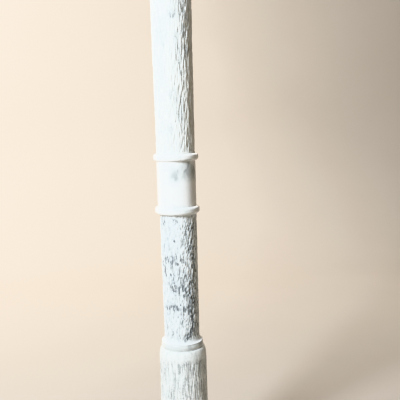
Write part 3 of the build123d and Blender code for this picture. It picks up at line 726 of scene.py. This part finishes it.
def build_shafts():
    """The nearly white upper shaft with bark-like strokes, and the veined, pecked lower one."""
    bark = Chisel(width=2.7, length=17, depth=1.5, lean=(2.5, 5), spacing=(0.80, 0.42),
                  splinter=0.16, seed=11)
    radius, height = size_of("upper_shaft")
    wall = upside_down(shaft_wall(radius, height, widening=-1.35, step=0.84))
    veins = [       # start, end, half width, strength, raggedness
        Vein((24, 214), (22, 0), 16, 0.30, 6),
        Vein((10, 192), (34, 118), 13, 0.48, 6),
        Vein((-36, 162), (-28, 132), 6, 0.36, 5),
        Vein((4, 74), (20, 42), 8, 0.40, 5),
        Vein((-16, 36), (26, 14), 7, 0.38, 5),
        Vein((120, 60), (190, 170), 9, 0.34, 6),
    ]
    build_stone("upper_shaft", wall, columns=350, seed=101, vein_amount=0.35, veins=veins,
                chisel=bark, tooled=lambda up: smooth(height - 6, height - 12, up),
                rims=(JOINT_RIM, 0), base_grey=0.18)

    pecks = Chisel(width=2.9, length=7.5, depth=1.3, lean=(3, 9), spacing=(0.80, 0.52),
                   splinter=0.12, seed=23)
    radius, height = size_of("lower_shaft")
    wall = shaft_wall(radius, height, widening=0.6, step=0.58)
    flare_tooled = 0.12         # how strongly the flare is tooled
    veins = [
        Vein((38, 150), (46, 24), 14, 0.66, 5),
        Vein((-12, 106), (14, 72), 14, 0.90, 5),
        Vein((-64, 112), (-20, 107), 6.0, 0.85, 4),
        Vein((-46, 98), (-12, 84), 9.0, 0.78, 4),
        Vein((-72, 109), (-18, 66), 3.0, 0.70, 3),
        Vein((22, 148), (30, 118), 3.0, 0.75, 3),
        Vein((2, 87), (10, 74), 3.2, 1.1, 3),
        Vein((28, 86), (38, 46), 4.2, 1.0, 3),
        Vein((-50, 48), (70, 50), 6.2, 0.82, 2.5),
        Vein((34, 38), (38, 23), 2.6, 2.0, 2),
        Vein((38, 24), (26, 11), 2.6, 2.0, 2),
        Vein((26, 12), (12, 4), 2.2, 1.8, 2),
        Vein((18, 8), (58, 2), 7.5, 0.60, 3),
        Vein((-80, 4), (0, 3), 3.5, 0.45, 3),
        Vein((-24, 136), (-15, 134), 1.9, 1.4, 1.5),
        Vein((-22, 161), (0, 158), 2.4, 0.75, 3),
        Vein((-70, 160), (-46, 157), 2.6, 0.60, 3),
        Vein((-44, 91), (-31, 87), 1.8, 0.8, 2),
        Vein((-10, 5), (-5, 4), 1.5, 1.2, 1),
        Vein((150, 158), (230, 18), 7.0, 0.7, 6),
        Vein((100, 28), (170, 68), 4.0, 0.8, 5),
    ]
    build_stone("lower_shaft", wall, columns=310, seed=202, vein_amount=0.65, veins=veins,
                chisel=pecks,
                tooled=lambda up: flare_tooled + (1 - flare_tooled) * smooth(3, 11, up),
                rims=(0, JOINT_RIM), base_grey=0.30)


def build_drums():
    """The bell drum and the capital, with long upright strokes below or above a shoulder."""
    strokes = Chisel(width=2.1, length=22, depth=1.0, lean=(0, 3.5), spacing=(0.85, 0.45),
                     splinter=0.18, seed=37)
    radius, height = size_of("bell_drum")
    head_r = radius - DRUM_TAPER
    shoulder_z = height - SHOULDER_H
    plain_z, full_z = shoulder_z + SHOULDER_FADE, shoulder_z - SHOULDER_FADE
    wall = np.vstack([
        run((radius, 0), (head_r, shoulder_z), 0.8),
        oval((head_r - SHOULDER_IN, shoulder_z), SHOULDER_IN, SHOULDER_H, 0, 90, 0.7),
        [[head_r - SHOULDER_IN, height]]])
    veins = [Vein((16, 118), (40, 100), 6, 0.40, 5), Vein((-34, 62), (-18, 84), 5, 0.30, 4)]
    # the drum's grey of 0.38 is partly the stone's own grey and partly painted shade, for the
    # weaker light low down on the lamp
    build_stone("bell_drum", wall, columns=400, seed=303, vein_amount=0.3, veins=veins,
                chisel=strokes, tooled=lambda up: smooth(plain_z, full_z, up),
                rims=(JOINT_RIM, 0), base_grey=0.38)

    radius, height = size_of("capital")
    plain_z, full_z = SHOULDER_H - SHOULDER_FADE, SHOULDER_H + SHOULDER_FADE
    wall = np.vstack([
        oval((radius - SHOULDER_IN, SHOULDER_H), SHOULDER_IN, SHOULDER_H, 270, 360, 0.7),
        run((radius, SHOULDER_H), (radius, height), 0.8), [[radius, height]]])
    build_stone("capital", wall, columns=400, seed=404, vein_amount=0.3, chisel=strokes,
                tooled=lambda up: smooth(plain_z, full_z, up), rims=(0, JOINT_RIM),
                base_grey=0.38)


def ring_wall(face_r, outer_r, height):
    """Half-round ring between two narrow upright edges."""
    flat = 0.6
    high = height - flat
    return np.vstack([run((face_r, 0), (face_r, flat), 0.3),
                      bow((face_r, flat), (outer_r, height / 2), (face_r, high), 0.7),
                      path(0.3, (face_r, high), (face_r, height)), [[face_r, height]]])


def collar_wall(ring_r, height):
    """Plain ring with a slightly swelling face."""
    bulge, edge = 0.8, 0.3
    face_r = ring_r - bulge
    return np.vstack([[[face_r - edge, 0]],
                      bow((face_r, edge), (ring_r, height / 2), (face_r, height - edge), 0.4),
                      [[face_r, height - edge], [face_r - edge, height]]])


def build_rings():
    """The turned and polished rings and the smooth band."""
    columns, vein_amount = 220, 0.7
    for name, ring_out, seed, rims in (("foot_ring", 3.9, 505, (JOINT_RIM, 0)),
                                       ("abacus", 3.5, 808, (0, 0))):
        radius, height = size_of(name)
        build_stone(name, ring_wall(radius - ring_out, radius, height), columns, seed,
                    vein_amount, rims=rims)
    smear = [Vein((20, 6), (60, 1), 9.0, 0.50, 2)]
    # the drum collar's grey of 0.38 is partly painted shade for the weaker light low down, like
    # the drum's
    for name, seed, veins, grey in (("drum_collar", 606, smear, 0.38),
                                    ("top_collar", 707, (), 0.0)):
        radius, height = size_of(name)
        build_stone(name, collar_wall(radius, height), columns, seed, vein_amount, veins,
                    rims=(JOINT_RIM, JOINT_RIM), base_grey=grey)

    radius, height = size_of("middle_band")
    ring_out, ring_h, corner_h, lip = 3.8, 9.2, 3.4, 0.4
    body_r = radius - ring_out
    high = height - ring_h
    wall = np.vstack([
        path(0.3, (body_r - lip, 0), (body_r, lip / 2)),
        band_ring(body_r, radius, 0, ring_h, corner_h),
        run((body_r, ring_h), (body_r, high), 1.2),
        band_ring(body_r, radius, high, ring_h, corner_h),
        [[body_r, height - lip / 2], [body_r - lip, height]]])
    veins = [
        Vein((30, 62), (-6, 48), 8.0, 0.60, 1.6),
        Vein((2, 52), (58, 53), 12.0, 0.42, 3),
        Vein((62, 52), (84, 46), 8.0, 0.50, 4),
        Vein((-8, 10), (40, 5), 4.5, 0.24, 4),
    ]
    build_stone("middle_band", wall, columns=260, seed=909, vein_amount=0.5, veins=veins)


def band_ring(body_r, ring_r, foot, ring_h, corner_h):
    """Full ring round a band: rounded corners above and below an upright middle."""
    out = ring_r - body_r
    low, high = foot + corner_h, foot + ring_h - corner_h
    return np.vstack([oval((body_r, low), out, corner_h, 275, 360, 0.5),
                      run((ring_r, low), (ring_r, high), 0.6),
                      oval((body_r, high), out, corner_h, 0, 90, 0.5)])


def build_base():
    """The spreading foot and the round base with its pocket and its cord hole."""
    radius, height = size_of("base_riser")
    bead, neck_h, top_r, cove_r = 4.0, 5.0, 33.0, 52.5
    cove_top = height - neck_h
    wall = np.vstack([
        bow((radius - bead, 0), (radius, bead), (radius - bead, 2 * bead), 0.7),
        path(0.8, (radius - bead, 2 * bead), (cove_r, 2 * bead)),
        oval((cove_r, cove_top), cove_r - top_r, cove_top - 2 * bead, 270, 180, 1.0),
        path(1.0, (top_r, cove_top), (top_r, height)), [[top_r, height]]])
    build_stone("base_riser", wall, columns=320, seed=1010, vein_amount=0.9,
                rims=(JOINT_RIM, 0))

    radius, height = size_of("base_plinth")
    roll, step, edge, pocket_r, pocket_h = 9.0, 2.0, 1.0, 23.0, 14.0
    roll_z = height - step - roll
    wall = np.vstack([
        path(0.5, (radius - edge, 0), (radius, edge)),
        path(1.2, (radius, edge), (radius, roll_z)),
        oval((radius - roll, roll_z), roll, roll, 0, 90, 0.9),
        path(0.7, (radius - roll, height - step), (radius - roll - step, height - step),
             (radius - roll - step, height)),
        [[radius - roll - step, height]]])
    under = np.vstack([
        path(4, (STONE_BORE_R, pocket_h + BORE_LIP), (STONE_LIP_R, pocket_h),
             (pocket_r, pocket_h), (pocket_r, 0)),
        path(4, (pocket_r, 0), (radius - edge, 0))])
    plinth = build_stone("base_plinth", wall, columns=360, seed=1111, vein_amount=0.9,
                         under=under)
    drill_cord_hole(plinth, pocket_r)


def drill_cord_hole(plinth, pocket_r):
    """Cut the cord's hole and the flat seat of its bushing, where the bushing is."""
    low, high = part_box("cord_bushing")
    middle_z = (low.z + high.z) / 2
    seat_r, flange_t, hole_r = 7.7 * MM, 1.6 * MM, 5.0 * MM
    inside, outside = 4 * MM, 12 * MM       # how far the drills run past the stone
    seat_y = high.y - flange_t
    for radius, start in ((hole_r, pocket_r * MM - inside), (seat_r, seat_y)):
        drill = new_object("drill", bpy.data.meshes.new("drill"))
        shape = bmesh.new()
        length = seat_y + outside - start
        place = Matrix.Translation((0, start + length / 2, middle_z))
        place = place @ Matrix.Rotation(math.pi / 2, 4, "X")
        bmesh.ops.create_cone(shape, cap_ends=True, segments=72, radius1=radius,
                              radius2=radius, depth=length, matrix=place)
        shape.to_mesh(drill.data)
        shape.free()
        cut = plinth.modifiers.new("cut", "BOOLEAN")
        cut.operation = "DIFFERENCE"
        cut.object = drill
        bpy.context.view_layer.objects.active = plinth
        bpy.ops.object.modifier_apply(modifier=cut.name)
        bpy.data.objects.remove(drill)
    smooth_shaded(plinth, TURNED_SHARP_DEG)


# -------- turned metal pieces
def fade_between(up, low, high, margin):
    """1 between two heights, falling to 0 at them."""
    return smooth(low, low + margin, up) * smooth(high, high - margin, up)


def thread(pitch, depth, low, high):
    """A warp that raises and lowers the radius along a screw thread between two heights."""
    def warp(around, up, radius):
        wave = np.cos(2 * math.pi * up / pitch - around)
        return depth * wave * fade_between(up, low, high, pitch)
    return warp


def knurl(count, depth, low, high, outside_r):
    """A warp that cuts upright grooves into a band between two heights."""
    def warp(around, up, radius):
        wave = 0.5 + 0.5 * np.cos(count * around)
        return -depth * wave * fade_between(up, low, high, 0.3) * (radius > outside_r)
    return warp


def build_cap_and_neck():
    """Vase cap and beaded neck, turned from brass."""
    radius, height = size_of("vase_cap")
    hub_r, edge, rim_z, dome_z = 9.0, 0.4, 1.3, 1.8
    dome_in, dome_top_r, hub_z = 1.1, hub_r + 0.6, height - 0.7
    outline = np.vstack([
        path(3, (THREAD_BORE_R, 0), (radius - edge, 0)),
        path(0.3, (radius - edge, 0), (radius, edge), (radius, rim_z), (radius - edge, 1.7),
             (radius - dome_in, dome_z)),
        oval((dome_top_r, dome_z), radius - dome_in - dome_top_r, hub_z - dome_z, 0, 90, 0.4),
        path(0.3, (dome_top_r, hub_z), (hub_r + 0.2, hub_z), (hub_r + 0.2, height - 0.2),
             (hub_r, height)),
        path(1.5, (hub_r, height), (THREAD_BORE_R, height)), [[THREAD_BORE_R, height]]])
    build_turned("vase_cap", outline, columns=160)

    radius, height = size_of("neck_spacer")
    tube_r, groove_r, chamfer = 7.0, 6.5, 0.3
    bead_r, bead_z = tube_r + 0.2, 5.0      # where the bead springs from its collars
    low = np.vstack([
        path(0.4, (tube_r - chamfer, 0), (tube_r, chamfer), (tube_r, 0.9), (groove_r, 1.2),
             (groove_r, 1.6), (tube_r, 1.9), (tube_r, 4.0), (tube_r + 0.5, 4.3),
             (tube_r + 0.5, 4.8), (bead_r, bead_z)),
        bow((bead_r, bead_z), (radius, height / 2), (bead_r, height - bead_z), 0.3)])
    lower = low[low[:, 1] < bead_z]
    build_turned("neck_spacer", np.vstack([
        path(1, (THREAD_BORE_R, 0), (tube_r - chamfer, 0)), low,
        (lower * [1, -1] + [0, height])[::-1],
        path(1, (tube_r - chamfer, height), (THREAD_BORE_R, height)),
        [[THREAD_BORE_R, height]]]))


def build_finial():
    """Finial: knurled skirt, hollow waist with a bead, ball and a round tip."""
    radius, height = size_of("finial")
    bore_r, bore_h, bore_lip = 3.25, 14.0, 0.5
    skirt_r, skirt_h, edge, skirt_in = 6.5, 3.5, 0.3, 0.4
    waist_r, waist_z, bead_out, bead_top = 4.4, 8.2, 0.9, 10.2
    neck_r, ball_z = 4.6, 19.6
    stem_r, tip_r, tip_down, cap_r, cap_h = 1.6, 2.2, 3.6, 1.3, 1.2
    skirt_top = skirt_h + skirt_in
    ball_foot_z = ball_z - math.sqrt(radius ** 2 - neck_r ** 2)
    ball_top_z = ball_z + math.sqrt(radius ** 2 - stem_r ** 2)
    ball_from = math.degrees(math.asin(-math.sqrt(1 - (neck_r / radius) ** 2)))
    ball_to = math.degrees(math.acos(stem_r / radius))
    outline = np.vstack([
        [[0, bore_h]],
        path(0.9, (bore_r, bore_h), (bore_r, bore_lip), (bore_r + bore_lip, 0)),
        path(0.4, (bore_r + bore_lip, 0), (skirt_r - edge, 0), (skirt_r, edge)),
        path(0.25, (skirt_r, edge), (skirt_r, skirt_h), (skirt_r - skirt_in, skirt_top)),
        bow((skirt_r - skirt_in, skirt_top), (waist_r + 0.35, 5.6), (waist_r, waist_z), 0.3),
        bow((waist_r, waist_z), (waist_r + bead_out, 9.2), (waist_r, bead_top), 0.25),
        path(0.4, (waist_r, bead_top), (neck_r, ball_foot_z)),
        oval((0, ball_z), radius, radius, ball_from, ball_to, 0.35),
        bow((stem_r, ball_top_z), (tip_r, height - tip_down), (cap_r, height - cap_h), 0.25),
        oval((0, height - cap_h), cap_r, cap_h, 0, 90, 0.25), [[0, height]]])
    grip = knurl(count=48, depth=0.22, low=0.6, high=3.3, outside_r=skirt_r - 0.1)
    build_turned("finial", outline, columns=144, warp=grip, closed=False)


def build_ferrules():
    """The two sliding sleeves of the harp, with grooves and a knurled grip."""
    bore_r, top_r, chamfer, groove_in = 2.7, 3.1, 0.3, 0.35
    grip_low, grip_high = 2.3, 8.2
    for name in ("harp_ferrule_left", "harp_ferrule_right"):
        low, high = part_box(name)
        radius, height = size_of(name)
        groove_r = radius - groove_in
        outline = np.vstack([
            path(0.5, (bore_r, 0), (radius - chamfer, 0), (radius, chamfer), (radius, 1.4),
                 (groove_r, 1.6), (groove_r, 2.1), (radius, grip_low)),
            path(0.3, (radius, grip_low), (radius, grip_high)),
            path(0.4, (radius, grip_high), (groove_r, 8.4), (groove_r, 8.9), (radius, 9.1),
                 (radius, 10.4), (top_r + 0.2, height - 0.2), (top_r, height),
                 (bore_r, height)), [[bore_r, height]]])
        grip = knurl(count=32, depth=0.2, low=2.5, high=8.0, outside_r=radius - 0.1)
        middle = ((low.x + high.x) / 2 / MM, (low.y + high.y) / 2 / MM)
        build_turned(name, outline, warp=grip, at=middle)


def build_screw_shell():
    """Rolled screw thread of the lamp socket, on a thin cup with an open floor."""
    radius, height = size_of("screw_shell")
    wall_t, floor_t, floor_bore_r, pitch, wave = 0.35, 0.8, 7.0, 3.63, 0.42
    out_r = radius - wave
    in_r = out_r - wall_t
    outline = np.vstack([
        path(1.2, (floor_bore_r, 0), (out_r, 0)),
        path(0.3, (out_r, 0), (out_r, height)), path(0.3, (out_r, height), (in_r, height)),
        path(0.3, (in_r, height), (in_r, floor_t)),
        path(1.2, (in_r, floor_t), (floor_bore_r, floor_t)), [[floor_bore_r, floor_t]]])
    rolled = thread(pitch, wave, low=1.6, high=height - 1.0)
    build_turned("screw_shell", outline, warp=rolled)


def build_rod():
    """Hollow rod with a fine thread at each end."""
    radius, height = size_of("threaded_rod")
    bore_r, pitch, depth, low_thread, high_thread = 3.3, 0.94, 0.22, 12.0, 40.0
    edge_in, edge_h = 0.3, 0.4
    out_r = radius - depth
    fine = pitch / 6
    outline = np.vstack([
        path(0.5, (bore_r, 0), (out_r - edge_in, 0)),
        path(fine, (out_r - edge_in, 0), (out_r, edge_h), (out_r, low_thread)),
        path(60, (out_r, low_thread), (out_r, height - high_thread)),
        path(fine, (out_r, height - high_thread), (out_r, height - edge_h),
             (out_r - edge_in, height)),
        path(0.5, (out_r - edge_in, height), (bore_r, height)), [[bore_r, height]]])
    ends = (thread(pitch, depth, 0.2, low_thread),
            thread(pitch, depth, height - high_thread, height - 0.2))

    def warp(around, up, radius):
        cut = ends[0](around, up, radius) + ends[1](around, up, radius)
        return cut * (radius > bore_r + 0.5)
    build_turned("threaded_rod", outline, columns=40, warp=warp)


def build_felt():
    """Felt disc with a soft, slightly uneven edge."""
    radius, height = size_of("base_felt")
    hole_r, uneven = 6.0, 0.14
    rim_r, edge_r = radius - 6, radius - 0.7
    outline = np.vstack([
        path(5, (hole_r, 0), (rim_r, 0)), path(0.8, (rim_r, 0), (edge_r, 0)),
        bow((edge_r, 0), (radius - 0.25, height / 2), (edge_r, height), 0.3),
        path(0.8, (edge_r, height), (rim_r, height)),
        path(5, (rim_r, height), (hole_r, height)), [[hole_r, height]]])

    def warp(around, up, radius):
        place = cylinder_points(radius, around, up)
        fuzz = layered_noise(place, 3, 71, 3).reshape(radius.shape)
        return uneven * np.clip(fuzz, -1.5, 1.5) * smooth(60, 72, radius)
    build_turned("base_felt", outline, columns=360, warp=warp)


# -------- carried-over CAD nodes
SOFT_EDGES = {              # radius of the rounded edges, in mm
    "harp_saddle": 0.35, "lock_nut": 0.4, "base_nut": 0.4, "base_washer": 0.3,
    "switch_knob": 0.25, "terminal_screws": 0.2, "cord_bushing": 0.35, "switch_body": 0.4,
    "shade_seat_stud": 0.4, "centre_contact": 0.12,
}


def dress_nodes():
    """Give each CAD node the material of its slot, and ease the edges of the solid ones."""
    for name, node in nodes.items():
        node.data.materials.clear()
        node.data.materials.append(MATERIALS[slots[name]])
        smooth_shaded(node, NODE_SHARP_DEG)
        if name in SOFT_EDGES:
            edge = node.modifiers.new("eased_edges", "BEVEL")
            edge.width = SOFT_EDGES[name] * MM
            edge.segments = 2
            edge.limit_method = "ANGLE"
            edge.angle_limit = math.radians(40)
            edge.harden_normals = True


# -------- stage, light, camera
def build_stage():
    """Pale floor that curves up into a plain wall behind."""
    half_width, front, back, bend, top = 8.0, -8.0, 1.6, 0.5, 3.2
    bend_steps = 12
    outline = [(front, 0.0), (back - bend, 0.0)]
    for i in range(1, bend_steps):
        a = math.radians(90 * i / bend_steps)
        outline.append((back - bend + bend * math.sin(a), bend - bend * math.cos(a)))
    outline += [(back, bend), (back, top)]
    points = [(x, y, z) for y, z in outline for x in (-half_width, half_width)]
    faces = [(2 * i, 2 * i + 1, 2 * i + 3, 2 * i + 2) for i in range(len(outline) - 1)]
    mesh = bpy.data.meshes.new("backdrop")
    mesh.from_pydata(points, [], faces)
    mesh.shade_smooth()
    stage = new_object("backdrop", mesh)
    s = Shader("backdrop_paint")
    s.set("Base Color", s.ramp(s.noise(3, 3), (0.3, colour(0.47, 0.425, 0.375)),
                               (0.7, colour(0.49, 0.445, 0.395))))
    s.set("Roughness", 0.9)
    mesh.materials.append(s.material)


def area_light(name, place, target, size, watts, tint):
    """A rectangular lamp at place, aimed at target; size is its two sides in metres."""
    light = bpy.data.lights.new(name, "AREA")
    light.shape = "RECTANGLE"
    light.size, light.size_y = size
    light.energy = watts
    light.color = tint
    lamp = new_object(name, light)
    lamp.location = place
    aim = Vector(target) - Vector(place)
    lamp.rotation_euler = aim.to_track_quat("-Z", "Y").to_euler()


def build_light():
    """A key from the front left, weak fills from right and back, and a wash on the wall."""
    area_light("key", (-0.60, -0.715, 1.0), (0, 0, 0.48), size=(0.30, 0.42),
               watts=29, tint=(0.865, 0.935, 1.0))
    area_light("right_fill", (0.95, -0.75, 0.75), (0, 0, 0.42),
               size=(0.25, 0.25), watts=0.8, tint=(1.0, 0.86, 0.66))
    area_light("back_fill", (0.5, 1.3, 1.1), (0, 0, 0.45), size=(0.5, 0.5),
               watts=6, tint=(1.0, 0.95, 0.90))
    area_light("backdrop_wash", (-1.7, 0.55, 1.3), (-1.7, 1.6, 0.9),
               size=(1.0, 1.0), watts=165, tint=(1.0, 0.95, 0.89))
    world = bpy.data.worlds.new("room")
    world.use_nodes = True
    background = world.node_tree.nodes["Background"]
    background.inputs["Color"].default_value = (1.0, 0.89, 0.72, 1)
    background.inputs["Strength"].default_value = 0.19
    bpy.context.scene.world = world
    bpy.context.scene.view_settings.view_transform = "Khronos PBR Neutral"


def build_camera():
    """Eye level a little above the middle band, near enough to crop the lamp at both ends."""
    distance, height = 0.819, 0.4875
    yaw, pitch, roll = (math.radians(a) for a in (-2.03, 7.35, -1.58))
    data = bpy.data.cameras.new("camera")
    data.lens = 58.5
    data.sensor_width = 36
    camera = new_object("camera", data)
    turn = Matrix.Rotation(yaw, 4, "Z") @ Matrix.Rotation(math.pi / 2 - pitch, 4, "X")
    turn = turn @ Matrix.Rotation(roll, 4, "Z")
    camera.matrix_world = Matrix.Translation((0, -distance, height)) @ turn
    bpy.context.scene.camera = camera


build_camera()
build_stage()
build_light()
dress_nodes()
build_shafts()
build_drums()
build_rings()
build_base()
build_cap_and_neck()
build_finial()
build_ferrules()
build_screw_shell()
build_rod()
build_felt()
